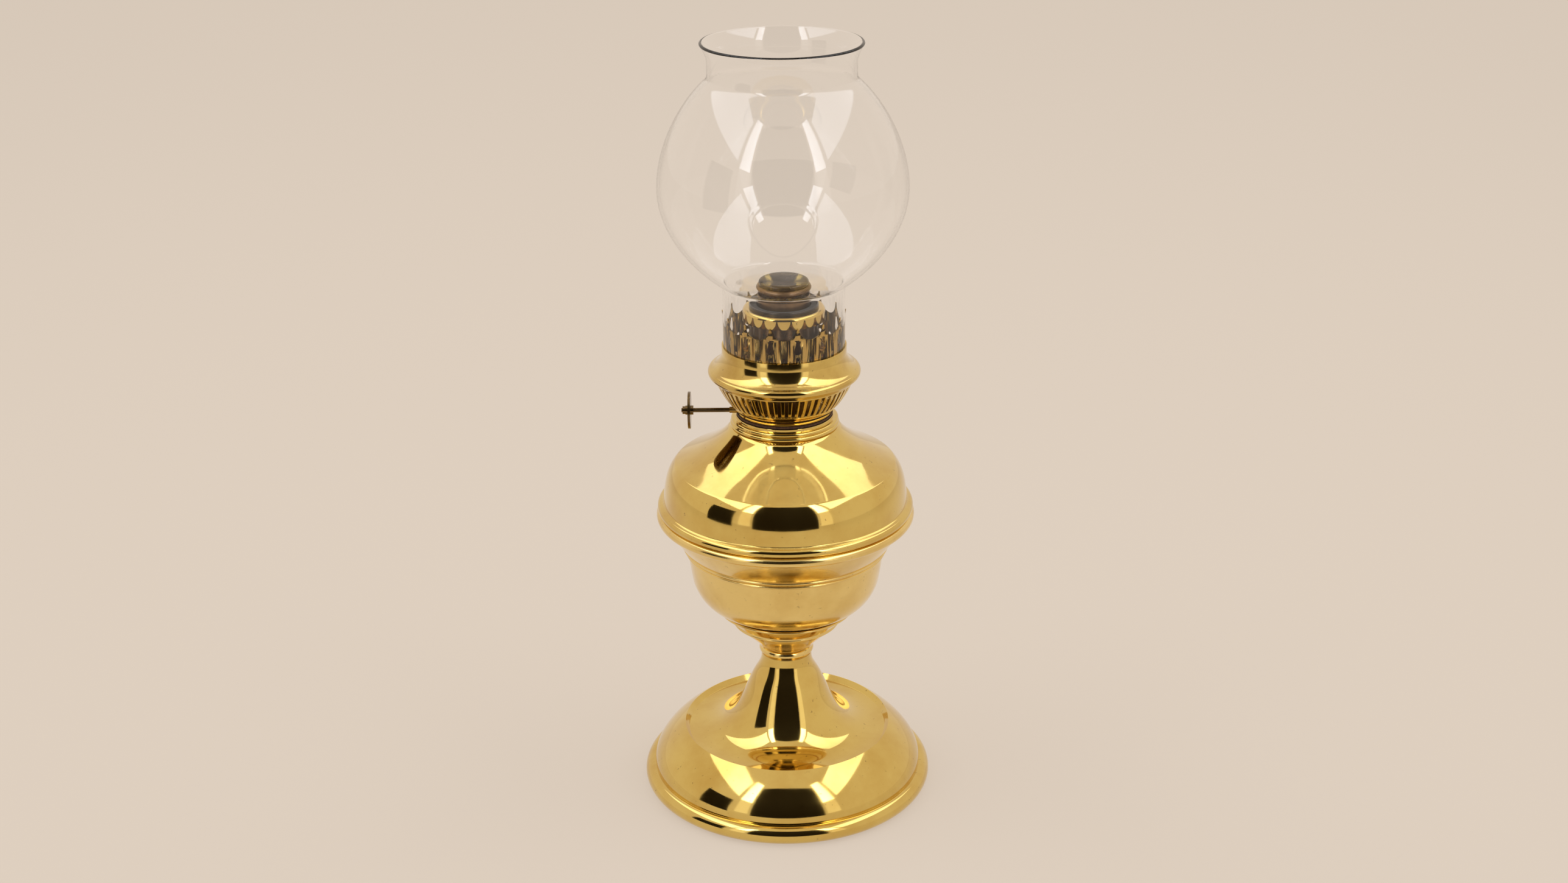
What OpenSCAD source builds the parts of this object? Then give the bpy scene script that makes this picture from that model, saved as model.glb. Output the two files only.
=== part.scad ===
// Brass table lamp for kerosene, with a round wick, a flame spreader and a ball chimney.
// Millimetres. +Z is up, the origin is under the middle of the foot, and the winder points to -X.

/* [Foot] */
// Diameter over the rolled edge
foot_d = 137; // [128:1:146]
// Height of the spun foot
foot_h = 66; // [60:1:74]
// Sheet thickness of the foot
foot_wall = 0.9; // [0.7:0.1:1.4]
// Diameter of the rolled edge's own tube
foot_bead = 8.8; // [7.5:0.1:10]
// Diameter of the crest between the domed step and the cone
crest_d = 97.6; // [90:0.5:104]
// Height of that crest
crest_h = 28.9; // [26:0.1:32]
// Depth of the channel inside the crest
channel_depth = 2.5; // [1.5:0.1:3.5]
// Diameter of the cone at its throat
throat_d = 32.4; // [29:0.1:36]
// How far the throat lies below the top of the foot
throat_drop = 12; // [10:0.5:15]
// Diameter of the neck
neck_d = 23.8; // [22:0.1:26]

/* [Stem] */
// Height of the ring between the neck and the knop
stem_ring_h = 4.4; // [3.5:0.1:6]
// Diameter of that ring
stem_ring_d = 25.6; // [24:0.1:28]
// Height of the knop
knop_h = 21; // [18:0.5:24]
// Diameter of the knop at its upper edge
knop_d = 64; // [58:0.5:68]
// Diameter of the screw that ties the stem together
tie_d = 6; // [5:0.5:8]

/* [Tank] */
// Sheet thickness of the tank
tank_wall = 0.9; // [0.7:0.1:1.3]
// Diameter over the beads at the tank's seam
tank_d = 119; // [114:1:126]
// Height of the lower half, from the knop to the seam
bowl_h = 49.4; // [45:0.2:55]
// Diameter of the lower half's belly
belly_d = 90.8; // [86:0.2:96]
// Height of the upper half, from the seam to the collar
dome_h = 40.9; // [37:0.1:46]
// Thickness of the lower bead
low_bead = 4.6; // [4:0.1:5.4]
// Thickness of the upper bead
high_bead = 4; // [3.4:0.1:4.6]
// Diameter of the collar's hole, which takes the burner
collar_bore = 38; // [37.5:0.1:39]
// Diameter over the collar's beads
collar_d = 49.6; // [48.5:0.1:52]
// Height of the collar above the tank
collar_h = 5.5; // [5:0.1:7]

/* [Burner] */
// Thickness of the leather washer under the burner
gasket_t = 1; // [0.8:0.1:1.6]
// Diameter of the burner's plain neck
burner_neck_d = 43.4; // [42.6:0.1:44.6]
// Diameter of the basket at its top
basket_d = 62.8; // [60:0.2:64]
// Height of the basket
basket_h = 15.7; // [14.5:0.1:18]
// Sheet thickness of the basket
basket_wall = 0.7; // [0.5:0.1:0.9]
// Number of air slots round the basket
slot_count = 56; // [40:2:60]
// Width of an air slot
slot_w = 1.5; // [1.1:0.1:1.7]
// Length of the threaded skirt below the basket
skirt_h = 8.3; // [7:0.1:9]

/* [Gallery] */
// Diameter over the flange's rolled edge
flange_d = 69; // [66.5:0.5:72]
// Height of the flange
flange_h = 15.8; // [14.5:0.1:18]
// Diameter of the flange's upper ring
flange_top_d = 56.2; // [56:0.1:58]
// Sheet thickness of the gallery ring
ring_wall = 0.8; // [0.6:0.1:0.8]
// Sheet thickness of the pierced crown
crown_wall = 0.5; // [0.4:0.1:0.6]
// Height of the crown above the flange
crown_h = 16; // [14:0.5:18]
// Number of prongs on the crown
prong_count = 14; // [10:2:16]

/* [Wick tubes] */
// Inner diameter of the outer wick tube
outer_tube_bore = 29.8; // [29.4:0.1:30.4]
// Sheet thickness of both wick tubes
tube_wall = 0.4; // [0.3:0.1:0.5]
// Outer diameter of the draught tube
inner_tube_d = 23.8; // [23:0.1:24.2]
// Height of the outer tube's top above the burner's seat
tube_h = 49.6; // [47:0.1:52]
// Height of the blued tip
tip_h = 1.6; // [1.2:0.1:2.4]
// How far the draught tube stands above the tip
inner_proud = 3.5; // [3:0.1:4.5]
// Diameter of the bright shoulder below the tip
shoulder_d = 36.8; // [34:0.1:40]
// Height of that shoulder
shoulder_h = 5.2; // [4:0.1:6.5]
// Length of the wick below the burner's seat
wick_drop = 85; // [70:1:90]

/* [Winder] */
// Diameter of the spindle
spindle_d = 2; // [1.8:0.1:2.2]
// How far the spindle lies in front of the lamp's axis
spindle_front = 5; // [4.5:0.1:5.2]
// How far the winder's wheel lies from the lamp's axis
knob_reach = 43; // [38:0.5:52]
// Diameter of the winder's finger wheel
knob_d = 16.8; // [14:0.2:19]
// Thickness of that wheel
knob_t = 1.2; // [1:0.1:2]
// Distance between the two toothed wheels
spur_pitch = 10; // [8.5:0.5:11]
// Number of teeth on each toothed wheel
spur_teeth = 12; // [8:1:16]

/* [Flame spreader] */
// Diameter of the spreader's cap
cap_d = 22.4; // [20:0.2:23]
// Height of the cap
cap_h = 2.1; // [1.6:0.1:3]
// Diameter of the spreader's ring
ring_d = 24.4; // [23.2:0.1:24.4]
// Height of the ring
ring_h = 2.9; // [2:0.1:3.5]
// Gap between the draught tube and the spreader's ring
spreader_gap = 1.8; // [1.2:0.1:2.6]
// Diameter of the spreader's stem
stem_d = 3; // [2.4:0.1:3.6]

/* [Chimney] */
// Diameter of the chimney's straight fitter tube
fitter_d = 52; // [51.6:0.1:52]
// Thickness of the glass
glass_wall = 1.4; // [1.1:0.1:2]
// Height of the straight tube
fitter_h = 31; // [28:0.5:34]
// Diameter of the ball
ball_d = 107.6; // [96:0.2:114]
// Height of the ball, from the tube to the neck
ball_h = 92.5; // [86:0.5:100]
// Diameter of the neck above the ball
glass_neck_d = 62; // [56:0.2:68]
// Diameter of the flared lip
lip_d = 69; // [66:0.5:76]
// Height of the neck with its lip
lip_h = 15; // [12:0.5:18]

/* [Hidden] */
$fn = 96;

// Clearances
seat_gap = 0.3;     // between pieces that rest on each other and come apart
running_gap = 0.05; // round a shaft that turns or slides
solder_gap = 0.02;  // round a fixed pin

// Colours
brass = [0.86, 0.68, 0.30];
dark_brass = [0.60, 0.45, 0.22];
blued = [0.28, 0.24, 0.22];
steel = [0.62, 0.62, 0.62];
cotton = [0.86, 0.82, 0.72];
hide = [0.45, 0.28, 0.16];
clear_glass = [0.85, 0.92, 0.95, 0.35];

// Heights, from the table up
z_ring = foot_h;
z_knop = z_ring + stem_ring_h;
z_bowl = z_knop + knop_h;
z_seam = z_bowl + bowl_h;
z_dome = z_seam + dome_h;
z_collar = z_dome + collar_h;
z_gasket = z_collar + seat_gap;
z_seat = z_gasket + gasket_t + seat_gap;
z_flange = z_seat + basket_h;
z_crown = z_flange + flange_h;
ledge_t = 0.8;
ledge_drop = 2.6;
z_ledge = z_crown - ledge_drop;
z_glass = z_ledge + seat_gap;
z_tip = z_seat + tube_h;
z_lip = z_tip + tip_h;
z_inner = z_lip + inner_proud;
z_spreader = z_inner + spreader_gap;

// Stem
tie_r = tie_d/2;
tie_hole = tie_r + seat_gap;
neck_plate = 1.2;
washer_t = 1.5;
nut_t = 5;
nut_flats = tie_d + 5;
tie_end = 3;
solder_disc_t = 1.4;
knop_wall = 0.8;
knop_seam = [0.61, 0.6]; // where the knop's lower bead lies, as shares of its flare
z_bottom = z_bowl + 0.7*knop_wall; // the tank's bottom rests on the edge of the knop's sheet

// Tank
step_bead = 0.7;
collar_skirt = 3.1;
collar_wall = 2;

// Burner
skirt_r = collar_bore/2 - 0.4;
skirt_wall = 1;
skirt_bore = skirt_r - skirt_wall;
floor_t = 0.8;
tube_r = outer_tube_bore/2 + tube_wall;
draught_r = inner_tube_d/2;
draught_bore = draught_r - tube_wall;
wick_gap = 0.3;
wick_r = outer_tube_bore/2 - wick_gap;
wick_bore = draught_r + wick_gap + 0.1;
tube_below = 6.8;       // outer tube below the burner's seat
draught_below = 5.2;    // closed end of the draught tube below the seat
window_w = 13;          // air window through both tubes
window_low = 4;
window_high = 15.2;
bridge_w = 6;           // strap between the tubes
bridge_low = 17.4;
bridge_h = 5.6;
wick_open_w = 15.2;     // gap between the wick's edges
wick_close = 33.2;      // height above the seat where the edges meet
wick_seam = 0.5;
slot_low = 5.2;         // air slots, from the seat
slot_high = 1;          // and below the basket's top

// Gallery
crown_r = fitter_d/2 + 0.4 + crown_wall;
crown_lean = 0.8;
lean_start = 5.3;       // below the tips
hole_r = 0.8;
hole_z = z_crown + 1.6;
pear_low = z_crown + 5.4;
pear_high = z_crown + 9.4;
pear_r = 1.7;
pear_top_r = 0.8;
prong_pitch = 2*PI*crown_r/prong_count;
tip_w = 0.7;

// Winder
spindle_r = spindle_d/2;
z_spindle = z_seat + 1.7;
bush_r = spindle_r + 0.4;
bush_in = burner_neck_d/2 - 2.2;
bush_out = burner_neck_d/2 + 3.2;
journal_r = spindle_r - 0.3;
journal_len = 3;
spur_w = 1.2;
spur_side = spur_pitch/2 + spur_w/2;
spur_r = sqrt(pow(wick_bore, 2) - pow(spur_side, 2)) - spindle_front - 0.2;
spur_root = spur_r - 1;
spur_slot_w = spur_w + 1;
spur_slot_h = 7;
spindle_end = sqrt(pow(wick_bore, 2) - pow(spindle_front + journal_r, 2)) - seat_gap;
hub_r = spindle_r + 1.1;
hub_len = 3.6;
knob_nut_t = 1.3;

// Flame spreader
neck_r = cap_d/2 - 1.7;
socket_r = stem_d/2 + 1.1;
socket_h = 8;
z_socket = z_seat + 25;
arm_w = 3;
arm_h = 1.5;
stem_below = 0.6;
collar_t = 1;

// Chimney
z_ball = z_glass + fitter_h;
z_neck = z_ball + ball_h;
z_top = z_neck + lip_h;

// Points of a Bezier curve from a to d, without a itself
function curve(a, b, c, d, n = 8) = [for (i = [1:n]) let (t = i/n, s = 1 - t)
    s*s*s*a + 3*s*s*t*b + 3*s*t*t*c + t*t*t*d];
// A point inside the box from a to d, by its shares in x and y
function within(a, d, share) = [a[0] + (d[0] - a[0])*share[0], a[1] + (d[1] - a[1])*share[1]];
// A curve whose two handles are given as shares of the box from a to d
function bend(a, d, p, q, n = 8) = curve(a, within(a, d, p), within(a, d, q), d, n);
// A round edge from a straight up to d, which stands out by about three quarters of out
function bulge(a, d, out, n = 6) = let (rise = (d[1] - a[1])*0.2)
    curve(a, a + [out, rise], d + [out, -rise], d, n);
// Points of an arc
function arc(centre, r, from, to, n = 8) = [for (i = [0:n]) let (t = from + (to - from)*i/n)
    centre + r*[cos(t), sin(t)]];
function unit(v) = v/norm(v);
// The point of an outline moved square to it by a wall, to the left of its run
function inset(p, i, wall) = let (
    last = len(p) - 1,
    before = unit(p[max(i, 1)] - p[max(i, 1) - 1]),
    after = unit(p[min(i, last - 1) + 1] - p[min(i, last - 1)]),
    side = unit([-before[1] - after[1], before[0] + after[0]]),
    square = side*[-before[1], before[0]])
    p[i] + side*wall/max(square, 0.6);

// Sheet metal or glass spun round the axis: the outline is its outside, from the bottom up
module spun(outline, wall) {
    rotate_extrude()
        polygon(concat(outline, [for (i = [len(outline) - 1:-1:0]) inset(outline, i, wall)]));
}

// A flat ring or a plain tube
module tube(r, bore, z, h) {
    translate([0, 0, z]) difference() {
        cylinder(r = r, h = h);
        translate([0, 0, -1]) cylinder(r = bore, h = h + 2);
    }
}

// A rolled bead round the axis
module bead(r, z, size) {
    rotate_extrude() translate([r, z]) circle(d = size, $fn = 24);
}

// Copies round the axis
module round_axis(count) {
    for (i = [0:count - 1]) rotate(360*i/count) children();
}

// A cylinder along X in the spindle's line, from x = a to x = b
module on_spindle(r, a, b) {
    translate([a, -spindle_front, z_spindle]) rotate([0, 90, 0]) cylinder(r = r, h = b - a);
}

// Air windows and straps on the winder's side of the wick tubes
module winder_side(width, z, h) {
    translate([-tube_r - 2, -width/2, z]) cube([tube_r - 4, width, h]);
}

// Foot
module foot() {
    bead_r = foot_bead/2;
    bead_x = foot_d/2 - bead_r;
    crease = [bead_x - 0.4, foot_bead];
    crest = [crest_d/2, crest_h];
    channel = [crest_d/2 - 1.9, crest_h - channel_depth];
    throat = [throat_d/2, foot_h - throat_drop];
    neck = [neck_d/2, foot_h - 2];
    outline = concat(
        [[bead_x - 1.8, 0]],
        arc([bead_x, bead_r], bead_r, -90, 85, 12),
        [crease],
        bend(crease, crest, [-0.06, 0.28], [0.42, 0.73], 10),
        [channel],
        bend(channel, throat, [0.73, -0.07], [0.80, 0.55], 12),
        bend(throat, neck, [0.46, 0.4], [0.93, 0.6], 5),
        [[neck[0], foot_h]]);
    color(brass) {
        spun(outline, foot_wall);
        tube(neck_d/2 - foot_wall/2, tie_hole, foot_h - neck_plate, neck_plate);
    }
}

// Cast ring on the foot's neck
module stem_collar() {
    r = stem_ring_d/2;
    color(brass) rotate_extrude()
        polygon(concat([[tie_hole, z_ring], [r - 1, z_ring]],
            bulge([r - 1, z_ring], [r - 1, z_knop], 4/3),
            [[tie_hole, z_knop]]));
}

// Spun cup under the tank
module knop() {
    low = [stem_ring_d/2, z_knop];
    edge = [knop_d/2, z_bowl];
    seam = within(low, edge, knop_seam);
    color(brass) {
        spun(concat([[tie_hole, z_knop], low], bend(low, seam, [0.07, 0.22], [0.65, 0.63]), [edge]),
            knop_wall);
        bead(seam[0], seam[1], 1.2);
        bead(edge[0] - 0.4, edge[1] - 0.7, 1.2);
    }
}

// Lower half of the tank
module bowl() {
    bead_r = low_bead/2;
    bottom = [knop_d/2 - 1.5, z_bottom];
    shoulder = [belly_d/2 - 2, z_bowl + bowl_h*0.29];
    belly = [belly_d/2, z_bowl + bowl_h*0.58];
    cove_low = [belly_d/2 + 1, belly[1] + 0.9];
    bead_centre = [tank_d/2 - bead_r, z_seam - bead_r];
    cove_high = bead_centre + bead_r*[cos(-125), sin(-125)];
    outline = concat([[0, z_bottom], bottom],
        bend(bottom, shoulder, [0.5, 0.09], [0.89, 0.54]),
        bend(shoulder, belly, [0.4, 0.31], [0.75, 0.63], 4),
        [cove_low],
        bend(cove_low, cove_high, [0.28, 0.23], [0.72, 0.65], 6),
        arc(bead_centre, bead_r, -112, 90, 10),
        [[bead_centre[0] - 1.6, z_seam]]);
    color(brass) {
        spun(outline, tank_wall);
        bead(cove_low[0] - 0.2, cove_low[1], step_bead*2);
        bead(cove_low[0] + 1.1, cove_low[1] + 2.4, step_bead*1.6);
    }
}

// Upper half of the tank
module font_dome() {
    bead_r = high_bead/2;
    bead_centre = [tank_d/2 - bead_r - 0.6, z_seam + bead_r];
    crease = [bead_centre[0] - 0.7, z_seam + high_bead + 0.6];
    shoulder = [tank_d/2 - 8.9, z_seam + dome_h*0.548];
    rim = [collar_d/2 + 0.8, z_dome - 0.9];
    outline = concat([[bead_centre[0] - 1, z_seam]],
        arc(bead_centre, bead_r, -90, 80, 10),
        [crease],
        bend(crease, shoulder, [0.11, 0.39], [0.21, 0.76]),
        bend(shoulder, rim, [0.304, 0.216], [0.764, 0.528], 10),
        [[collar_d/2 - 0.4, z_dome], [collar_bore/2 + collar_wall + 0.3, z_dome]]);
    color(brass) spun(outline, tank_wall);
}

// Beaded ring on the tank, with the burner's thread inside
module font_collar() {
    bead_r = 1;
    r = collar_d/2 - bead_r;
    color(brass) rotate_extrude() polygon(concat(
        [[collar_bore/2, z_dome - collar_skirt], [collar_bore/2 + collar_wall, z_dome - collar_skirt],
        [collar_bore/2 + collar_wall, z_dome], [r, z_dome]],
        arc([r, z_dome + 1.3], bead_r, -80, 75),
        arc([r - 0.4, z_dome + 3.3], bead_r, -60, 85),
        [[r - 1.5, z_dome + 4.4], [r - 1.6, z_collar], [collar_bore/2, z_collar]]));
}

// Screw soldered under the tank
module tie_stud() {
    z_low = foot_h - neck_plate - washer_t - nut_t - tie_end;
    color(steel) {
        translate([0, 0, z_low]) cylinder(r = tie_r, h = z_bottom - z_low);
        translate([0, 0, z_bottom - solder_disc_t]) cylinder(r = tie_r + 5, h = solder_disc_t);
    }
}

module foot_washer() {
    color(steel)
        tube(neck_d/2 - foot_wall - 1, tie_hole, foot_h - neck_plate - washer_t, washer_t);
}

module foot_nut() {
    color(brass) translate([0, 0, foot_h - neck_plate - washer_t - nut_t]) difference() {
        cylinder(d = nut_flats/cos(30), h = nut_t, $fn = 6);
        translate([0, 0, -1]) cylinder(r = tie_r + solder_gap, h = nut_t + 2);
    }
}

// Leather washer between the collar and the burner
module gasket() {
    color(hide) tube(burner_neck_d/2 + 0.2, collar_bore/2 + 0.2, z_gasket, gasket_t);
}

// Slotted air basket with its plain neck
module basket() {
    neck = [burner_neck_d/2, z_seat];
    low = [neck[0] + 0.3, z_seat + 1.2];
    top = [basket_d/2, z_flange];
    slot_h = basket_h - slot_low - slot_high;
    color(brass) difference() {
        spun(concat([[skirt_bore, z_seat], neck, low],
            bend(low, top, [0.27, 0.18], [0.62, 0.41], 10)), basket_wall);
        round_axis(slot_count)
            translate([burner_neck_d/2 - 1, -slot_w/2, z_seat + slot_low])
            cube([basket_d/2 - burner_neck_d/2 + 3, slot_w, slot_h]);
        on_spindle(bush_r, -basket_d/2, -tube_r - 0.5);
    }
}

// Threaded ring that screws into the collar
module burner_skirt() {
    color(brass) tube(skirt_r, skirt_bore, z_seat - skirt_h, skirt_h);
}

// Plate that shuts the tank off from the basket
module burner_floor() {
    color(brass) tube(skirt_bore, tube_r, z_seat - floor_t, floor_t);
}

// Wick tubes
module outer_tube() {
    color(dark_brass) difference() {
        tube(tube_r, outer_tube_bore/2, z_seat - tube_below, tube_h + tube_below);
        winder_side(window_w, z_seat - window_low, window_low + window_high);
    }
}

module tube_shoulder() {
    r = shoulder_d/2;
    low = z_tip - shoulder_h;
    sheet = 0.6;
    color(brass) rotate_extrude() polygon(concat(
        [[tube_r, z_tip - sheet], [r - 1.8, z_tip - sheet], [r - sheet, z_tip - 1.7],
        [r - sheet, low], [r, low]],
        bend([r, z_tip - 1.5], [r - 1.5, z_tip], [0, 0.55], [0.45, 1], 5),
        [[tube_r, z_tip]]));
}

module tube_tip() {
    color(blued) rotate_extrude() polygon(concat(
        [[outer_tube_bore/2, z_tip], [tube_r + 0.2, z_tip]],
        bend([tube_r + 0.3, z_tip + tip_h*0.5], [tube_r - 0.1, z_lip], [0, 0.6], [0.6, 1], 4),
        [[outer_tube_bore/2, z_lip]]));
}

module inner_tube() {
    low = z_seat - draught_below;
    color(dark_brass) {
        difference() {
            tube(draught_r, draught_bore, low, z_inner - low);
            winder_side(window_w, z_seat - window_low, window_low + window_high);
            for (side = [-1, 1])
                translate([side*spur_pitch/2 - spur_slot_w/2, -draught_r - 1, z_spindle - spur_slot_h/2])
                cube([spur_slot_w, draught_r/2 + 1, spur_slot_h]);
            on_spindle(journal_r + running_gap, spindle_end - 3, draught_r + 1);
        }
        translate([0, 0, low - tube_wall]) cylinder(r = draught_r, h = tube_wall);
        intersection() {
            tube(outer_tube_bore/2, draught_r - tube_wall/2, z_seat + bridge_low, bridge_h);
            winder_side(bridge_w, z_seat + bridge_low, bridge_h);
        }
    }
}

// Bush on two arms across the draught tube, which holds the flame spreader's stem
module spreader_socket() {
    color(brass) difference() {
        union() {
            translate([0, 0, z_socket]) cylinder(r = socket_r, h = socket_h);
            intersection() {
                translate([-draught_r, -arm_w/2, z_socket + socket_h/2 - arm_h/2])
                    cube([2*draught_r, arm_w, arm_h]);
                translate([0, 0, z_socket]) cylinder(r = draught_bore, h = socket_h);
            }
        }
        translate([0, 0, z_socket - 1]) cylinder(r = stem_d/2 + running_gap, h = socket_h + 2);
    }
}

module spindle_bush() {
    color(brass) difference() {
        on_spindle(bush_r, -bush_out, -bush_in);
        on_spindle(spindle_r + running_gap, -bush_out - 1, -bush_in + 1);
    }
}

// Moulded flange on top of the basket, with the ledge that carries the glass
module gallery_ring() {
    roll_r = 2;
    roll = [flange_d/2 - roll_r, z_flange + 3.3];
    top_r = flange_top_d/2;
    cove_low = roll + roll_r*[cos(66), sin(66)];
    cove_high = [top_r, z_crown - 3.7];
    color(brass) {
        spun(concat([[basket_d/2, z_flange]],
            arc(roll, roll_r, -100, 66, 10),
            bend(cove_low, cove_high, [0.41, 0.10], [0.9, 0.52]),
            [[top_r, z_crown]]), ring_wall);
        tube(top_r - ring_wall/2, fitter_d/2 - glass_wall - 1.4, z_ledge - ledge_t, ledge_t);
    }
}

// Pear-shaped piercing
module pear() {
    linear_extrude(4) {
        translate([0, pear_low]) circle(r = pear_r, $fn = 32);
        translate([0, pear_high]) circle(r = pear_top_r, $fn = 32);
        polygon([[-pear_r, pear_low], [pear_r, pear_low], [pear_top_r, pear_high],
            [-pear_top_r, pear_high]]);
    }
}

// Pierced crown with spring prongs round the glass
module gallery_crown() {
    tips = z_crown + crown_h;
    notch_r = (prong_pitch - tip_w)/2;
    color(brass) difference() {
        rotate_extrude() polygon([[crown_r - crown_wall, z_ledge], [crown_r, z_ledge],
            [crown_r, tips - lean_start], [crown_r + crown_lean, tips],
            [crown_r + crown_lean - crown_wall, tips], [crown_r - crown_wall, tips - lean_start]]);
        round_axis(2*prong_count)
            translate([crown_r - 2, 0, hole_z]) rotate([0, 90, 0]) cylinder(r = hole_r, h = 4, $fn = 24);
        round_axis(prong_count)
            translate([crown_r - 2, 0, 0]) rotate([90, 0, 90]) pear();
        rotate(180/prong_count) round_axis(prong_count)
            translate([crown_r - 3, 0, tips]) rotate([0, 90, 0]) cylinder(r = notch_r, h = 6);
    }
}

// Winder
module spindle() {
    color(dark_brass) {
        on_spindle(spindle_r, -knob_reach - hub_len/2 - knob_nut_t - 0.5, spindle_end - journal_len);
        on_spindle(journal_r, spindle_end - journal_len - 1, spindle_end);
    }
}

module spur_wheels() {
    for (side = [-1, 1]) color(steel)
        translate([side*spur_pitch/2 - spur_w/2, -spindle_front, z_spindle]) rotate([0, 90, 0])
        difference() {
            linear_extrude(spur_w) polygon([for (i = [0:2*spur_teeth - 1])
                let (r = i % 2 == 0 ? spur_r : spur_root, a = 180*i/spur_teeth) r*[cos(a), sin(a)]]);
            translate([0, 0, -1]) cylinder(r = spindle_r + solder_gap, h = spur_w + 2);
        }
}

module winder_knob() {
    color(dark_brass) difference() {
        union() {
            on_spindle(knob_d/2, -knob_reach - knob_t/2, -knob_reach + knob_t/2);
            on_spindle(hub_r, -knob_reach - hub_len/2, -knob_reach + hub_len/2);
        }
        on_spindle(spindle_r + solder_gap, -knob_reach - hub_len, -knob_reach + hub_len);
    }
}

module knob_nut() {
    out = -knob_reach - hub_len/2;
    color(brass) difference() {
        on_spindle(hub_r - 0.3, out - knob_nut_t, out);
        on_spindle(spindle_r + solder_gap, out - knob_nut_t - 1, out + 1);
    }
}

// Cotton wick: a ring in the burner, open on the winder's side, and two tails in the tank
module wick() {
    ring_low = z_seat - 14.8;
    top = z_lip - 0.4;
    tail_w = 16;
    thick = wick_r - wick_bore;
    color(cotton) {
        difference() {
            tube(wick_r, wick_bore, ring_low, top - ring_low);
            winder_side(wick_open_w, ring_low - 1, z_seat + wick_close - ring_low + 1);
            winder_side(wick_seam, z_seat, top + 1 - z_seat);
        }
        for (front = [-wick_r, wick_bore])
            translate([-tail_w/2, front, z_seat - wick_drop])
            cube([tail_w, thick, ring_low + 2 - z_seat + wick_drop]);
    }
}

// Flame spreader
module spreader_neck() {
    color(dark_brass) translate([0, 0, z_spreader - spreader_gap + 0.2])
        cylinder(r = neck_r, h = spreader_gap - 0.2);
}

module spreader_ring() {
    r = ring_d/2;
    color(dark_brass) rotate_extrude() polygon(concat(
        [[0, z_spreader], [r - 0.5, z_spreader]],
        bulge([r - 0.5, z_spreader], [r - 0.5, z_spreader + ring_h], 2/3),
        [[0, z_spreader + ring_h]]));
}

module spreader_cap() {
    r = cap_d/2;
    low = z_spreader + ring_h;
    color(blued) rotate_extrude() polygon(concat([[0, low], [r, low]],
        bend([r, low + cap_h*0.55], [r - 1.6, low + cap_h], [0, 0.6], [0.5, 1], 5),
        [[0, low + cap_h]]));
}

module spreader_stem() {
    foot_z = z_socket - stem_below;
    top = z_spreader - spreader_gap + 0.2;
    color(steel) {
        translate([0, 0, foot_z]) cylinder(r = stem_d/2, h = top - foot_z);
        translate([0, 0, z_socket + socket_h + seat_gap]) cylinder(r = socket_r, h = collar_t);
    }
}

// Glass chimney
module chimney() {
    r = fitter_d/2;
    widest = [ball_d/2, z_ball + ball_h*0.47];
    ball_low = [r + 1.6, z_ball + 1.6];
    ball_top = [glass_neck_d/2 + 2.2, z_neck - 3.6];
    neck = [glass_neck_d/2, z_neck + 1];
    neck_top = [glass_neck_d/2, z_top - 9.4];
    color(clear_glass) spun(concat([[r, z_glass], [r, z_ball - 1.4]],
        bend([r, z_ball - 1.4], ball_low, [0, 0.6], [0.5, 0.85], 4),
        bend(ball_low, widest, [0.5, 0.21], [1, 0.59], 14),
        bend(widest, ball_top, [0, 0.37], [0.45, 0.77], 14),
        bend(ball_top, neck, [0.72, 0.32], [1, 0.55], 4),
        [neck_top],
        bend(neck_top, [lip_d/2, z_top], [0, 0.37], [0.41, 0.67], 6)), glass_wall);
}

foot();
stem_collar();
knop();
bowl();
font_dome();
font_collar();
tie_stud();
foot_washer();
foot_nut();
gasket();
basket();
burner_skirt();
burner_floor();
outer_tube();
tube_shoulder();
tube_tip();
inner_tube();
spreader_socket();
spindle_bush();
gallery_ring();
gallery_crown();
spindle();
spur_wheels();
winder_knob();
knob_nut();
wick();
spreader_cap();
spreader_ring();
spreader_neck();
spreader_stem();
chimney();
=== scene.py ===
import bpy
from math import atan2, cos, degrees, hypot, pi, radians, sin
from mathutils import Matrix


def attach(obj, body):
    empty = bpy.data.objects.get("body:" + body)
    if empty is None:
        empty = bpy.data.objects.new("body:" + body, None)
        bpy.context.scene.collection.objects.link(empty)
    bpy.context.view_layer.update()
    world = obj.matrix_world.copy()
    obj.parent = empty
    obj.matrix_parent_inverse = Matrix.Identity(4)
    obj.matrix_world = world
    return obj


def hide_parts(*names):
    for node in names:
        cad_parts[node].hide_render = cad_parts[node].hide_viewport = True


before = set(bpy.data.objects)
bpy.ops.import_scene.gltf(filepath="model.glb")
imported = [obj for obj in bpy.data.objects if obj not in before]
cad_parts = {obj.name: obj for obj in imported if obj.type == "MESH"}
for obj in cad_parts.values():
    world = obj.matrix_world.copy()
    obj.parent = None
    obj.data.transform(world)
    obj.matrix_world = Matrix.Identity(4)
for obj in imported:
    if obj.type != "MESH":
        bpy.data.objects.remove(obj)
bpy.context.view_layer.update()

camera = bpy.data.objects.new("camera", bpy.data.cameras.new("camera"))
bpy.context.scene.collection.objects.link(camera)
camera.data.sensor_width = 36
camera.data.lens = 48.75
camera.data.clip_start = 0.01
camera.rotation_mode = "ZXY"
camera.location = (-0.0004, -0.8992, 0.5381)
camera.rotation_euler = (radians(90 - 22.11), 0, radians(-0.45))
bpy.context.scene.camera = camera
bpy.context.scene.view_settings.view_transform = "Standard"


# Foot: spun from brass sheet over a wooden form, its edge rolled over a wire, then buffed.
# It is one hollow shell, open below, with a domed step, a raised crest and a hollow cone.
MM = 0.001


def linear(colour):
    """A hex sRGB colour as the linear colour that a shader socket takes"""
    parts = [int(colour[i:i + 2], 16)/255 for i in (1, 3, 5)]
    return [p/12.92 if p <= 0.04045 else ((p + 0.055)/1.055)**2.4 for p in parts] + [1]


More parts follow.
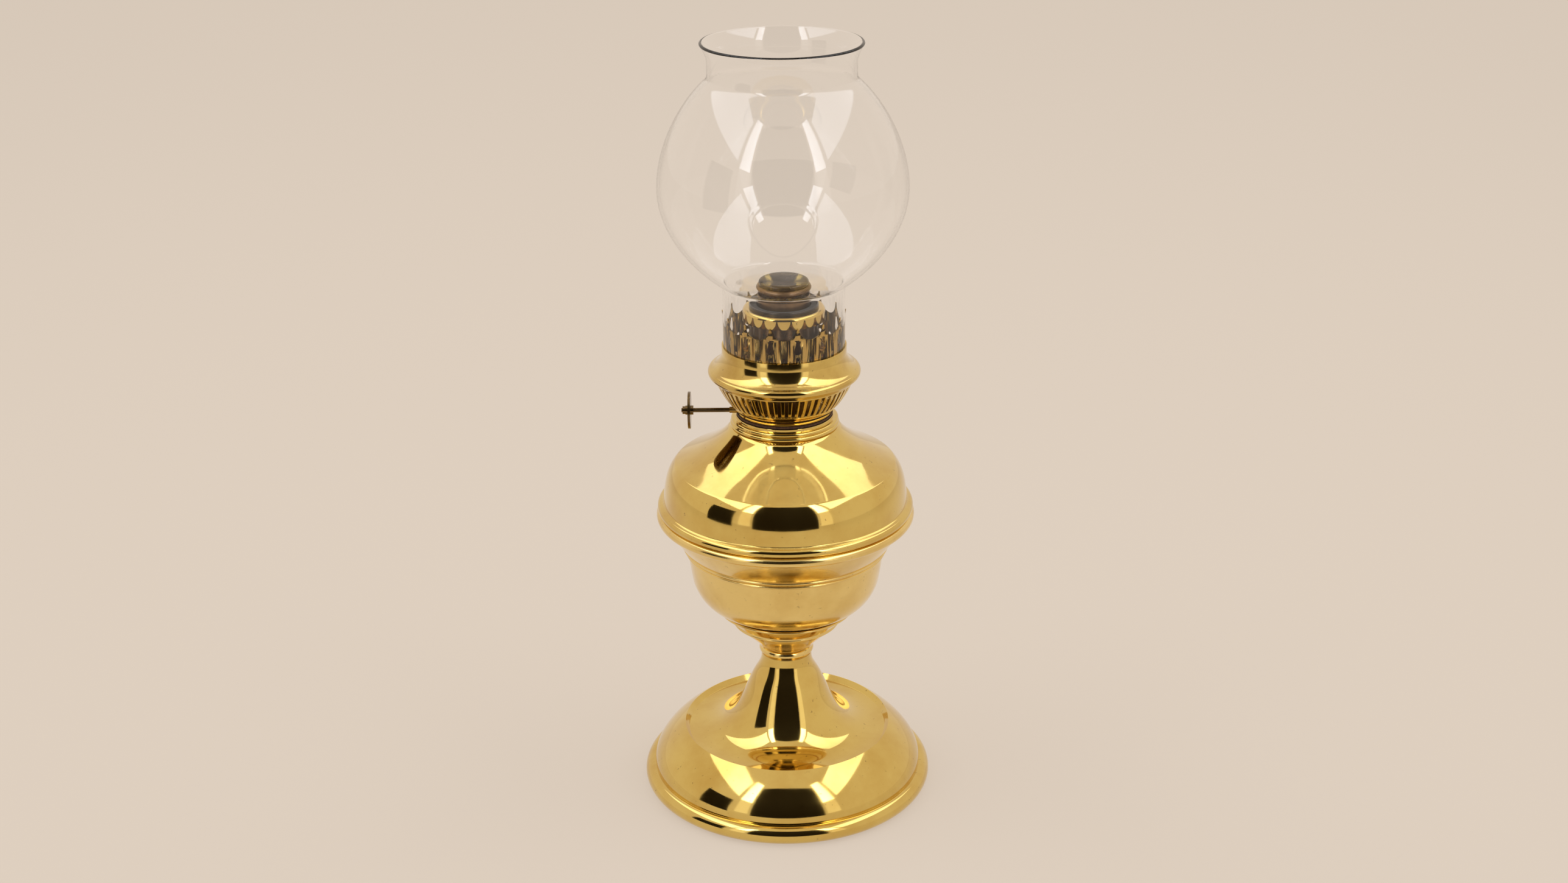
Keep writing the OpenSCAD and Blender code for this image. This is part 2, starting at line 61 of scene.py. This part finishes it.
def add(material, kind, settings=None, **links):
    """Adds a node, sets its properties and sockets, and links other sockets into its own"""
    made = material.node_tree.nodes.new(kind)
    for name, value in (settings or {}).items():
        if name in made.inputs:
            made.inputs[name].default_value = value
        elif name.isdigit():
            made.inputs[int(name)].default_value = value
        else:
            setattr(made, name, value)
    for name, source in links.items():
        name = name.replace("_", " ")
        socket = made.inputs[int(name[1:])] if name[1:].isdigit() else made.inputs[name]
        material.node_tree.links.new(source, socket)
    return made


def new_material(name, surface="ShaderNodeBsdfPrincipled", **values):
    """A material with one surface shader, whose uniform values are set on its own sockets"""
    made = bpy.data.materials.new(name)
    made.use_nodes = True
    made.node_tree.nodes.clear()
    shader = add(made, surface, {key.replace("_", " "): value for key, value in values.items()})
    add(made, "ShaderNodeOutputMaterial", Surface=shader.outputs[0])
    return made, shader


def ramp(material, source, stops, mode="LINEAR"):
    """A colour ramp between hex colours, or greys, at the places given"""
    made = add(material, "ShaderNodeValToRGB", Fac=source)
    made.color_ramp.interpolation = mode
    steps = made.color_ramp.elements
    while len(steps) < len(stops):
        steps.new(0.5)
    for step, (place, value) in zip(steps, stops):
        step.position = place
        step.color = linear(value) if isinstance(value, str) else (value, value, value, 1)
    return made.outputs["Color"]


def round_place(material):
    """Object coordinates as (distance from the lamp's axis, height), for marks left by a lathe"""
    place = add(material, "ShaderNodeTexCoord").outputs["Object"]
    split = add(material, "ShaderNodeSeparateXYZ", Vector=place)
    flat = add(material, "ShaderNodeVectorMath", {"operation": "MULTIPLY", "1": (1, 1, 0)}, _0=place)
    away = add(material, "ShaderNodeVectorMath", {"operation": "LENGTH"}, _0=flat.outputs[0])
    return add(material, "ShaderNodeCombineXYZ", X=away.outputs["Value"],
               Y=split.outputs["Z"]).outputs[0], place


def brass(name, bright, worn, rough, tarnish=0.5, waves=0.02, lathe=0.0, spots="#4A3216"):
    """Brass sheet: a bright and a tarnished colour in clouds, dark specks, lathe lines and small dents.
    A thin film of lacquer gives its highlights their white."""
    made, shader = new_material(name, Metallic=1.0, Coat_Weight=0.6, Coat_Roughness=0.06)
    rings, place = round_place(made)
    cloud = add(made, "ShaderNodeTexNoise", {"Scale": 38.0, "Detail": 5.0, "Roughness": 0.6}, Vector=place)
    clouded = ramp(made, cloud.outputs["Fac"], [(0.42, 0.0), (0.72, tarnish)])
    speck = add(made, "ShaderNodeTexNoise", {"Scale": 420.0, "Detail": 3.0, "Roughness": 0.7}, Vector=place)
    specks = ramp(made, speck.outputs["Fac"], [(0.66, 0.0), (0.76, 0.75)])
    colour = add(made, "ShaderNodeMix", {"data_type": "RGBA", "6": linear(bright), "7": linear(worn)},
                 _0=clouded)
    dark = add(made, "ShaderNodeMix", {"data_type": "RGBA", "7": linear(spots)}, _0=specks,
               _6=colour.outputs[2])
    made.node_tree.links.new(dark.outputs[2], shader.inputs["Base Color"])
    haze = add(made, "ShaderNodeTexNoise", {"Scale": 90.0, "Detail": 4.0}, Vector=place)
    gloss = ramp(made, haze.outputs["Fac"], [(0.35, rough*0.7), (0.7, rough*1.5)])
    made.node_tree.links.new(gloss, shader.inputs["Roughness"])
    # Dents of a few centimetres, and lathe lines about 0.6 mm apart, which show at this size
    dents = add(made, "ShaderNodeTexNoise", {"Scale": 55.0, "Detail": 2.0}, Vector=place)
    bump = add(made, "ShaderNodeBump", {"Strength": 1.0, "Distance": waves*MM}, Height=dents.outputs["Fac"])
    if lathe:
        lines = add(made, "ShaderNodeTexNoise", {"noise_dimensions": "2D", "Scale": 1500.0, "Detail": 2.0},
                    Vector=rings)
        bump = add(made, "ShaderNodeBump", {"Strength": 1.0, "Distance": lathe*MM},
                   Height=lines.outputs["Fac"], Normal=bump.outputs[0])
    made.node_tree.links.new(bump.outputs[0], shader.inputs["Normal"])
    return made


def curve(a, b, c, d, steps=24):
    """Points of a Bezier curve from a to d, without a itself"""
    made = []
    for i in range(1, steps + 1):
        t = i/steps
        s = 1 - t
        made.append(tuple(s*s*s*p + 3*s*s*t*q + 3*s*t*t*r + t*t*t*w for p, q, r, w in zip(a, b, c, d)))
    return made


def within(a, d, share):
    """A point inside the box from a to d, by its shares across and up"""
    return (a[0] + (d[0] - a[0])*share[0], a[1] + (d[1] - a[1])*share[1])


def bend(a, d, p, q, steps=24):
    """A curve whose two handles are given as shares of the box from a to d"""
    return curve(a, within(a, d, p), within(a, d, q), d, steps)


def arc(centre, r, start, end, steps=14):
    """Points of an arc, with its angles in degrees"""
    return [(centre[0] + r*cos(radians(start + (end - start)*i/steps)),
             centre[1] + r*sin(radians(start + (end - start)*i/steps))) for i in range(steps + 1)]


def edit(piece):
    """Selects one piece alone and opens it in edit mode"""
    bpy.ops.object.select_all(action="DESELECT")
    bpy.context.view_layer.objects.active = piece
    piece.select_set(True)
    bpy.ops.object.mode_set(mode="EDIT")


def finish(piece, angle=35):
    """Merges doubles, turns the faces outwards and shades the piece smooth up to an angle"""
    edit(piece)
    bpy.ops.mesh.select_all(action="SELECT")
    bpy.ops.mesh.remove_doubles(threshold=1e-6)
    bpy.ops.mesh.normals_make_consistent(inside=False)
    bpy.ops.object.mode_set(mode="OBJECT")
    bpy.ops.object.shade_smooth_by_angle(angle=radians(angle))


def apply(piece, kind, **settings):
    """Adds a modifier to a piece and applies it"""
    bpy.ops.object.select_all(action="DESELECT")
    bpy.context.view_layer.objects.active = piece
    piece.select_set(True)
    modifier = piece.modifiers.new(kind.lower(), kind)
    for name, value in settings.items():
        setattr(modifier, name, value)
    bpy.ops.object.modifier_apply(modifier=modifier.name)


def turned(name, outline, wall=0.0, soft=0.25, steps=180):
    """A piece spun round the lamp's axis from the outline of its outside, in millimetres"""
    bpy.ops.object.select_all(action="DESELECT")
    r, z = outline[0]
    bpy.ops.mesh.primitive_plane_add(size=MM, location=(r*MM, 0, z*MM))
    piece = bpy.context.object
    piece.name = name
    bpy.ops.object.transform_apply(location=True, rotation=True, scale=True)
    bpy.ops.object.mode_set(mode="EDIT")
    bpy.ops.mesh.select_mode(type="VERT")
    bpy.ops.mesh.select_all(action="SELECT")
    bpy.ops.mesh.merge(type="CENTER")
    for (r0, z0), (r1, z1) in zip(outline, outline[1:]):
        bpy.ops.mesh.extrude_region_move(TRANSFORM_OT_translate={"value": ((r1 - r0)*MM, 0, (z1 - z0)*MM)})
    bpy.ops.mesh.select_all(action="SELECT")
    bpy.ops.mesh.spin(steps=steps, angle=2*pi, center=(0, 0, 0), axis=(0, 0, 1), use_auto_merge=True)
    bpy.ops.object.mode_set(mode="OBJECT")
    finish(piece)
    if wall:
        apply(piece, "SOLIDIFY", thickness=wall*MM, offset=-1, use_even_offset=True)
    if soft:
        apply(piece, "BEVEL", width=soft*MM, segments=2, limit_method="ANGLE", angle_limit=radians(24))
    finish(piece, 40)
    return piece


def dress(piece, material, body, *nodes):
    """Gives a piece its material and its body, and lets it stand for CAD nodes"""
    piece.data.materials.clear()
    piece.data.materials.append(material)
    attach(piece, body)
    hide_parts(*nodes)


polished_brass = brass("polished_brass", "#E4C76E", "#D2AC50", 0.07, tarnish=0.8, waves=0.05)
satin_brass = brass("satin_brass", "#F2D586", "#DDBA66", 0.17, tarnish=0.8, waves=0.04, lathe=0.004)

edge_r = 137/2 - 4.4
crease, crest = (edge_r - 0.4, 8.8), (48.8, 28.9)
channel, throat, neck = (46.9, 26.4), (16.2, 54), (11.9, 64)
foot = turned("foot_shell", [(edge_r - 1.8, 0)] + arc((edge_r, 4.4), 4.4, -90, 85) + [crease]
              + bend(crease, crest, (-0.06, 0.28), (0.42, 0.73), 40) + [channel]
              + bend(channel, throat, (0.73, -0.07), (0.80, 0.55), 48)
              + bend(throat, neck, (0.46, 0.4), (0.93, 0.6), 16) + [(11.9, 66), (3.3, 66)], wall=0.9)
dress(foot, polished_brass, "stand", "foot")

# Stem: a cast ring on the foot's neck, and a cup spun with two beads that carries the tank.
# A screw soldered under the tank runs down through both and is tightened inside the foot.
stem_ring = turned("stem_ring", [(3.3, 66), (11.8, 66)] + arc((10.6, 68.2), 2.2, -57, 57)
                   + [(11.8, 70.4), (3.3, 70.4)], soft=0.15)
dress(stem_ring, satin_brass, "stand", "stem_collar")
low, top = (12.8, 70.4), (32, 91.4)
seam = within(low, top, (0.61, 0.6))
knop = turned("knop_cup", [(3.3, 70.4), low] + bend(low, seam, (0.07, 0.22), (0.65, 0.63))
              + arc(seam, 0.6, -80, 60, 8) + [(seam[0] + 0.5, seam[1] + 1)]
              + [(31.2, 90.2)] + arc((31.6, 90.7), 0.6, -80, 80, 8) + [(31.3, 91.4)], wall=0.8, soft=0.12)
dress(knop, satin_brass, "stand", "knop")

# Tank: two spun halves soldered together at a pair of beads, the lower one satin, the upper polished.
low_centre, high_centre = (57.2, 138.5), (56.9, 142.8)
bottom, shoulder, belly = (30.5, 92), (43.4, 105.7), (45.4, 120.05)
cove_low = (46.4, 120.95)
cove_high = (low_centre[0] + 2.3*cos(radians(-125)), low_centre[1] + 2.3*sin(radians(-125)))
bowl = turned("tank_bowl", [(0, 92), bottom] + bend(bottom, shoulder, (0.5, 0.09), (0.89, 0.54), 30)
              + bend(shoulder, belly, (0.4, 0.31), (0.75, 0.63), 20)
              + arc((46.2, 120.95), 0.7, -100, 60, 8) + arc((47.5, 123.35), 0.56, -100, 60, 8)
              + bend((47.9, 124.2), cove_high, (0.26, 0.2), (0.72, 0.65), 24)
              + arc(low_centre, 2.3, -112, 90, 20) + [(55.6, 140.8)], wall=0.9, soft=0.12)
dress(bowl, satin_brass, "stand", "bowl")
crease, shoulder, rim = (56.2, 145.4), (50.6, 163.2), (25.6, 180.8)
dome = turned("tank_dome", [(55.9, 140.8)] + arc(high_centre, 2, -90, 80, 20) + [crease]
              + bend(crease, shoulder, (0.11, 0.39), (0.21, 0.76), 40)
              + bend(shoulder, rim, (0.304, 0.216), (0.764, 0.528), 60)
              + [(24.4, 181.7), (21.3, 181.7)], wall=0.9, soft=0.15)
dress(dome, polished_brass, "stand", "font_dome")

# Collar: turned from bar with two beads, soldered on the tank and threaded inside for the burner.
collar = turned("tank_collar", [(19, 178.6), (21, 178.6), (21, 181.7), (23.8, 181.7)]
                + arc((23.8, 183), 1, -80, 75) + arc((23.4, 185), 1, -60, 85)
                + [(22.3, 186.1), (22.2, 187.2), (19, 187.2), (19, 178.6)], soft=0.1)
dress(collar, polished_brass, "stand", "font_collar")

# Inside the foot: the steel screw from the tank, a steel washer and a plain brass nut.
dull_brass = brass("dull_brass", "#B8964E", "#8A6A34", 0.34, tarnish=0.9, waves=0.02)
mild_steel = brass("mild_steel", "#A8A8A6", "#85827C", 0.36, tarnish=0.7, waves=0.01, spots="#5A4A3C")
for node, material in (("tie_stud", mild_steel), ("foot_washer", mild_steel), ("foot_nut", dull_brass)):
    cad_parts[node].data.materials.clear()
    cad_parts[node].data.materials.append(material)

# Gasket: a ring cut from oiled leather, which seals the burner on the collar.
leather, shader = new_material("oiled_leather", Roughness=0.62, Specular_IOR_Level=0.4)
place = add(leather, "ShaderNodeTexCoord").outputs["Object"]
grain = add(leather, "ShaderNodeTexVoronoi", {"Scale": 900.0}, Vector=place)
leather.node_tree.links.new(ramp(leather, grain.outputs["Distance"], [(0.0, "#2A1A10"), (0.8, "#5A3A22")]),
                            shader.inputs["Base Color"])
bump = add(leather, "ShaderNodeBump", {"Strength": 0.6, "Distance": 0.1*MM},
           Height=grain.outputs["Distance"])
leather.node_tree.links.new(bump.outputs[0], shader.inputs["Normal"])
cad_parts["gasket"].data.materials.clear()
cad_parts["gasket"].data.materials.append(leather)

# Basket: spun brass, its air slots punched in one ring, on a plain neck that holds the skirt.
SLOTS = 56
slot_foot, slot_head = 194.0, 203.5
profile = bend((22, 190), (31.4, 204.5), (0.27, 0.18), (0.62, 0.41), 60)
basket = turned("air_basket", [(17.6, 188.8), (21.7, 188.8), (22, 190)] + profile, soft=0, steps=SLOTS*6)
edit(basket)
bpy.ops.mesh.select_mode(type="FACE")
bpy.ops.mesh.select_all(action="DESELECT")
bpy.ops.object.mode_set(mode="OBJECT")
for face in basket.data.polygons:
    x, y, z = face.center
    turn = degrees(atan2(y, x)) % (360/SLOTS)/(360/SLOTS)*6
    if slot_foot*MM < z < slot_head*MM and hypot(x, y) > 22*MM and 0 < turn < 3:
        face.select = True
edit(basket)
bpy.ops.mesh.delete(type="FACE")
bpy.ops.object.mode_set(mode="OBJECT")
# An open band of faces comes out of finish pointing inwards, so its wall grows along them
apply(basket, "SOLIDIFY", thickness=0.7*MM, offset=1, use_even_offset=True)
apply(basket, "BEVEL", width=0.12*MM, segments=2, limit_method="ANGLE", angle_limit=radians(50))
finish(basket, 40)
burner_brass = brass("burner_brass", "#E2C46C", "#B8903E", 0.10, tarnish=0.8, waves=0.04)
dress(basket, burner_brass, "burner", "basket")

# Under the basket: the threaded skirt, and the plate that shuts the tank off from the air.
for node in ("burner_skirt", "burner_floor", "spreader_socket"):
    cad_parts[node].data.materials.clear()
    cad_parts[node].data.materials.append(dull_brass)

# Wick tubes: rolled from thin brass sheet, stained brown and grey by the flame, with air windows
# on the winder's side. The outer one carries a bright stepped shoulder and a blued lip.
heat_stained_brass = brass("heat_stained_brass", "#8A6A45", "#4A3A30", 0.32, tarnish=1.0, waves=0.05,
                           spots="#1E1814")
blued_brass = brass("blued_brass", "#4A4038", "#2C2826", 0.30, tarnish=1.0, waves=0.02, spots="#16120F")
for node in ("outer_tube", "inner_tube"):
    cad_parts[node].data.materials.clear()
    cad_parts[node].data.materials.append(heat_stained_brass)
shoulder_ring = turned("shoulder_cone", [(15.3, 237.8), (16.6, 237.8), (17.8, 236.7), (17.8, 233.2),
                                         (18.4, 233.2), (18.4, 236.9)]
                       + bend((18.4, 236.9), (16.9, 238.4), (0, 0.55), (0.45, 1), 10)
                       + [(15.3, 238.4), (15.3, 237.8)], soft=0.08)
dress(shoulder_ring, burner_brass, "burner", "tube_shoulder")
tip = turned("blued_lip", [(14.9, 238.4), (15.5, 238.4), (15.6, 239.2)]
             + bend((15.6, 239.2), (15.2, 240), (0, 0.6), (0.6, 1), 8)
             + [(14.9, 240), (14.9, 238.4)], soft=0.05)
dress(tip, blued_brass, "burner", "tube_tip")

# Gallery ring: spun with a rolled edge and a hollow moulding, it rests on the basket.
roll = (32.5, 207.8)
cove = (roll[0] + 2*cos(radians(66)), roll[1] + 2*sin(radians(66)))
gallery = turned("gallery_flange", [(31.4, 204.5)] + arc(roll, 2, -100, 66, 20)
                 + bend(cove, (28.1, 216.6), (0.41, 0.1), (0.9, 0.52), 30)
                 + [(28.1, 220.3)], wall=0.8, soft=0.12)
ledge = turned("gallery_ledge", [(23.2, 216.9), (27.7, 216.9), (27.7, 217.7), (23.2, 217.7), (23.2, 216.9)],
               soft=0.08)
bpy.ops.object.select_all(action="DESELECT")
ledge.select_set(True)
gallery.select_set(True)
bpy.context.view_layer.objects.active = gallery
bpy.ops.object.join()
dress(gallery, burner_brass, "burner", "gallery_ring")

# Crown: pierced from thin spring brass with round and pear-shaped holes, its prongs grip the glass.
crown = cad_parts["gallery_crown"].copy()
crown.data = crown.data.copy()
crown.name = "pierced_crown"
crown.parent = None
for key in list(crown.keys()):
    del crown[key]
bpy.context.scene.collection.objects.link(crown)
finish(crown, 30)
crown_brass = brass("crown_brass", "#C8A558", "#7C5E2E", 0.20, tarnish=1.0, waves=0.05, spots="#3A2A18")
dress(crown, crown_brass, "burner", "gallery_crown")

# Winder: a brass wire with a thin finger wheel on a hub, held by a small nut. The spindle turns
# in a short bush on the basket's neck and carries two toothed wheels inside the wick.
dark_brass = brass("aged_brass", "#7A6236", "#4C3A20", 0.26, tarnish=1.0, waves=0.02, spots="#2A2014")
for node, material in (("spindle", dark_brass), ("spur_wheels", mild_steel), ("winder_knob", dark_brass),
                       ("knob_nut", dark_brass), ("spindle_bush", dull_brass)):
    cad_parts[node].data.materials.clear()
    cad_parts[node].data.materials.append(material)

# Wick: a woven cotton tube, charred at its top, with two flat tails that hang in the tank.
cotton, shader = new_material("woven_cotton", Roughness=0.9, Sheen_Weight=0.3)
place = add(cotton, "ShaderNodeTexCoord").outputs["Object"]
height = add(cotton, "ShaderNodeSeparateXYZ", Vector=place).outputs["Z"]
char = add(cotton, "ShaderNodeMapRange", {"1": 0.2335, "2": 0.2388}, Value=height)
burnt = ramp(cotton, char.outputs[0], [(0.0, "#CDBF9E"), (0.35, "#8A6A44"), (0.8, "#2A1D14")])
weave = add(cotton, "ShaderNodeTexWave", {"Scale": 420.0, "Distortion": 1.0, "bands_direction": "Z"},
            Vector=place)
thread = add(cotton, "ShaderNodeMix", {"data_type": "RGBA", "blend_type": "MULTIPLY", "0": 0.35},
             _6=burnt, _7=weave.outputs["Color"])
cotton.node_tree.links.new(thread.outputs[2], shader.inputs["Base Color"])
bump = add(cotton, "ShaderNodeBump", {"Strength": 0.8, "Distance": 0.2*MM}, Height=weave.outputs["Fac"])
cotton.node_tree.links.new(bump.outputs[0], shader.inputs["Normal"])
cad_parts["wick"].data.materials.clear()
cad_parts["wick"].data.materials.append(cotton)

# Flame spreader: a turned button on a stained ring and neck, which lifts out by its stem.
cap = turned("flame_button", [(0, 248.2), (11.2, 248.2), (11.2, 249.4)]
             + bend((11.2, 249.4), (9.6, 250.3), (0, 0.6), (0.5, 1), 10) + [(0, 250.3)], soft=0.08)
dress(cap, blued_brass, "spreader", "spreader_cap")
ring = turned("stained_ring", [(0, 245.3), (11.7, 245.3)] + arc((11.3, 246.75), 1.1, -55, 55, 12)
              + [(11.7, 248.2), (0, 248.2)], soft=0.08)
dress(ring, heat_stained_brass, "spreader", "spreader_ring")
for node, material in (("spreader_neck", heat_stained_brass), ("spreader_stem", mild_steel)):
    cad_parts[node].data.materials.clear()
    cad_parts[node].data.materials.append(material)

# Chimney: blown clear glass with a straight fitter tube, a ball, a short neck and a flared lip.
wide, ball_low, ball_top = (53.8, 292.475), (27.6, 250.6), (33.2, 337.9)
glass_neck, lip_foot, lip = (31, 342.5), (31, 347.1), (34.5, 356.5)
chimney = turned("glass_chimney", [(26, 218), (26, 247.6)]
                 + bend((26, 247.6), ball_low, (0, 0.6), (0.5, 0.85), 14)
                 + bend(ball_low, wide, (0.5, 0.21), (1, 0.59), 44)
                 + bend(wide, ball_top, (0, 0.37), (0.45, 0.77), 44)
                 + bend(ball_top, glass_neck, (0.72, 0.32), (1, 0.55), 14) + [lip_foot]
                 + bend(lip_foot, lip, (0, 0.37), (0.41, 0.67), 16), soft=0)
apply(chimney, "SOLIDIFY", thickness=1.4*MM, offset=-1, use_even_offset=True)
apply(chimney, "BEVEL", width=0.55*MM, segments=4, limit_method="ANGLE", angle_limit=radians(50))
finish(chimney, 60)
clear_glass, glass = new_material("soda_lime_glass", Base_Color=linear("#FFFFFF"), Roughness=0.0, IOR=1.45,
                                  Transmission_Weight=1.0)
clear = add(clear_glass, "ShaderNodeBsdfTransparent", {"Color": linear("#FAFBFA")})
ray = add(clear_glass, "ShaderNodeLightPath")
either = add(clear_glass, "ShaderNodeMath", {"operation": "MAXIMUM"}, _0=ray.outputs["Is Shadow Ray"],
             _1=ray.outputs["Is Diffuse Ray"])
through = add(clear_glass, "ShaderNodeMixShader", _0=either.outputs[0], _1=glass.outputs[0],
              _2=clear.outputs[0])
output = next(n for n in clear_glass.node_tree.nodes if n.type == "OUTPUT_MATERIAL")
clear_glass.node_tree.links.new(through.outputs[0], output.inputs["Surface"])
dress(chimney, clear_glass, "chimney", "chimney")


# Floor: a plain pale sweep. Its colour is what the camera, metal and glass see.
BACKDROP = "#E4D6C7"
bpy.ops.object.select_all(action="DESELECT")
bpy.ops.mesh.primitive_plane_add(size=12, location=(0, 0, 0))
floor = bpy.context.object
floor.name = "floor"
paper, matt = new_material("backdrop_paper", "ShaderNodeBsdfDiffuse", Color=linear(BACKDROP))
ray = add(paper, "ShaderNodeLightPath")
seen = add(paper, "ShaderNodeMath", {"operation": "MAXIMUM"}, _0=ray.outputs["Is Camera Ray"],
           _1=ray.outputs["Is Glossy Ray"])
seen = add(paper, "ShaderNodeMath", {"operation": "MAXIMUM"}, _0=seen.outputs[0],
           _1=ray.outputs["Is Transmission Ray"])
share = add(paper, "ShaderNodeMath", {"operation": "MULTIPLY", "1": 0.6}, _0=seen.outputs[0])
flat = add(paper, "ShaderNodeEmission", {"Color": linear(BACKDROP), "Strength": 1.0})
mixed = add(paper, "ShaderNodeMixShader", _0=share.outputs[0], _1=matt.outputs[0], _2=flat.outputs[0])
output = next(n for n in paper.node_tree.nodes if n.type == "OUTPUT_MATERIAL")
paper.node_tree.links.new(mixed.outputs[0], output.inputs["Surface"])
floor.data.materials.append(paper)

# Black cloth: hangs behind the camera, and gives the brass its dark reflections in front.
black_cloth, shader = new_material("black_cloth", Base_Color=linear("#1A1410"), Roughness=1.0)


def cloth(name, turn, half, low, high, far):
    """A hanging cloth that faces the lamp, at a turn from the front, seen only in reflections"""
    bpy.ops.object.select_all(action="DESELECT")
    wide = 2*far*sin(radians(half))/cos(radians(half))
    bpy.ops.mesh.primitive_plane_add(size=1, location=(far*sin(radians(turn)), -far*cos(radians(turn)),
                                     (low + high)/2), rotation=(radians(90), 0, radians(turn)))
    made = bpy.context.object
    made.name = name
    made.scale = (wide, high - low, 1)
    bpy.ops.object.transform_apply(location=True, rotation=True, scale=True)
    made.data.materials.append(black_cloth)
    made.visible_camera = made.visible_diffuse = made.visible_shadow = False


cloth("cloth_front", 0, 30, 0.0, 3.0, 1.7)
cloth("cloth_left", -62, 13, 0.0, 0.95, 1.6)

# Softboxes: a narrow bright one and a long one on each side, seen in reflections, and plain soft
# light that the eye doesn't see in them.


def softbox(name, start, end, low, high, level, far_level, colour="#FFFFFF"):
    """An upright lit panel from one place on the floor plan to another, between two heights,
    whose light fades from the front end to the rear one"""
    (x0, y0), (x1, y1) = start, end
    lamp = bpy.data.lights.new(name, "AREA")
    lamp.shape = "RECTANGLE"
    lamp.size, lamp.size_y = hypot(x1 - x0, y1 - y0), high - low
    lamp.energy = pi*lamp.size*lamp.size_y
    lamp.color = linear(colour)[:3]
    lamp.use_nodes = True
    place = add(lamp, "ShaderNodeNewGeometry").outputs["Position"]
    split = add(lamp, "ShaderNodeSeparateXYZ", Vector=place)
    fade = add(lamp, "ShaderNodeMapRange", {"1": y0, "2": y1, "3": level, "4": far_level},
               Value=split.outputs["Y"])
    emission = next(n for n in lamp.node_tree.nodes if n.type == "EMISSION")
    lamp.node_tree.links.new(fade.outputs[0], emission.inputs["Strength"])
    holder = bpy.data.objects.new(name, lamp)
    bpy.context.scene.collection.objects.link(holder)
    holder.location = ((x0 + x1)/2, (y0 + y1)/2, (low + high)/2)
    side = 1 if x0*(y1 - y0) - y0*(x1 - x0) > 0 else -1
    holder.rotation_euler = (radians(90), 0, atan2((y1 - y0)*side, (x1 - x0)*side))
    return holder


def around(turn, far):
    return (far*sin(radians(turn)), -far*cos(radians(turn)))


for side in (-1, 1):
    a, b = around(side*32, 1.3), around(side*43, 1.22)
    c, d = around(side*47, 1.19), around(side*140, 1.25)
    panels = [softbox(f"strip_{side}", a, b, 0.85, 2.3, 5.0, 3.5, "#F2F6FF"),
              softbox(f"strip_low_{side}", a, b, 0.12, 0.85, 0.35, 0.35),
              softbox(f"box_{side}", c, d, 0.95, 2.0, 2.2, 1.0, "#EEF4FF")]
    for panel in panels:
        panel.visible_diffuse = False
    fill = softbox(f"fill_{side}", (side*1.2, -0.9), (side*1.2, 0.9), 0.9, 2.3, 1.2, 1.2)
    fill.visible_glossy = fill.visible_transmission = False

world = bpy.data.worlds.new("studio")
bpy.context.scene.world = world
world.use_nodes = True
world.node_tree.nodes.clear()
ray = add(world, "ShaderNodeLightPath")
plain = add(world, "ShaderNodeBackground", {"Color": linear("#F2ECE4"), "Strength": 0.75})
wall = add(world, "ShaderNodeBackground", {"Color": linear(BACKDROP), "Strength": 1.0})
both = add(world, "ShaderNodeMixShader", _0=ray.outputs["Is Diffuse Ray"], _1=wall.outputs[0], _2=plain.outputs[0])
add(world, "ShaderNodeOutputWorld", Surface=both.outputs[0])
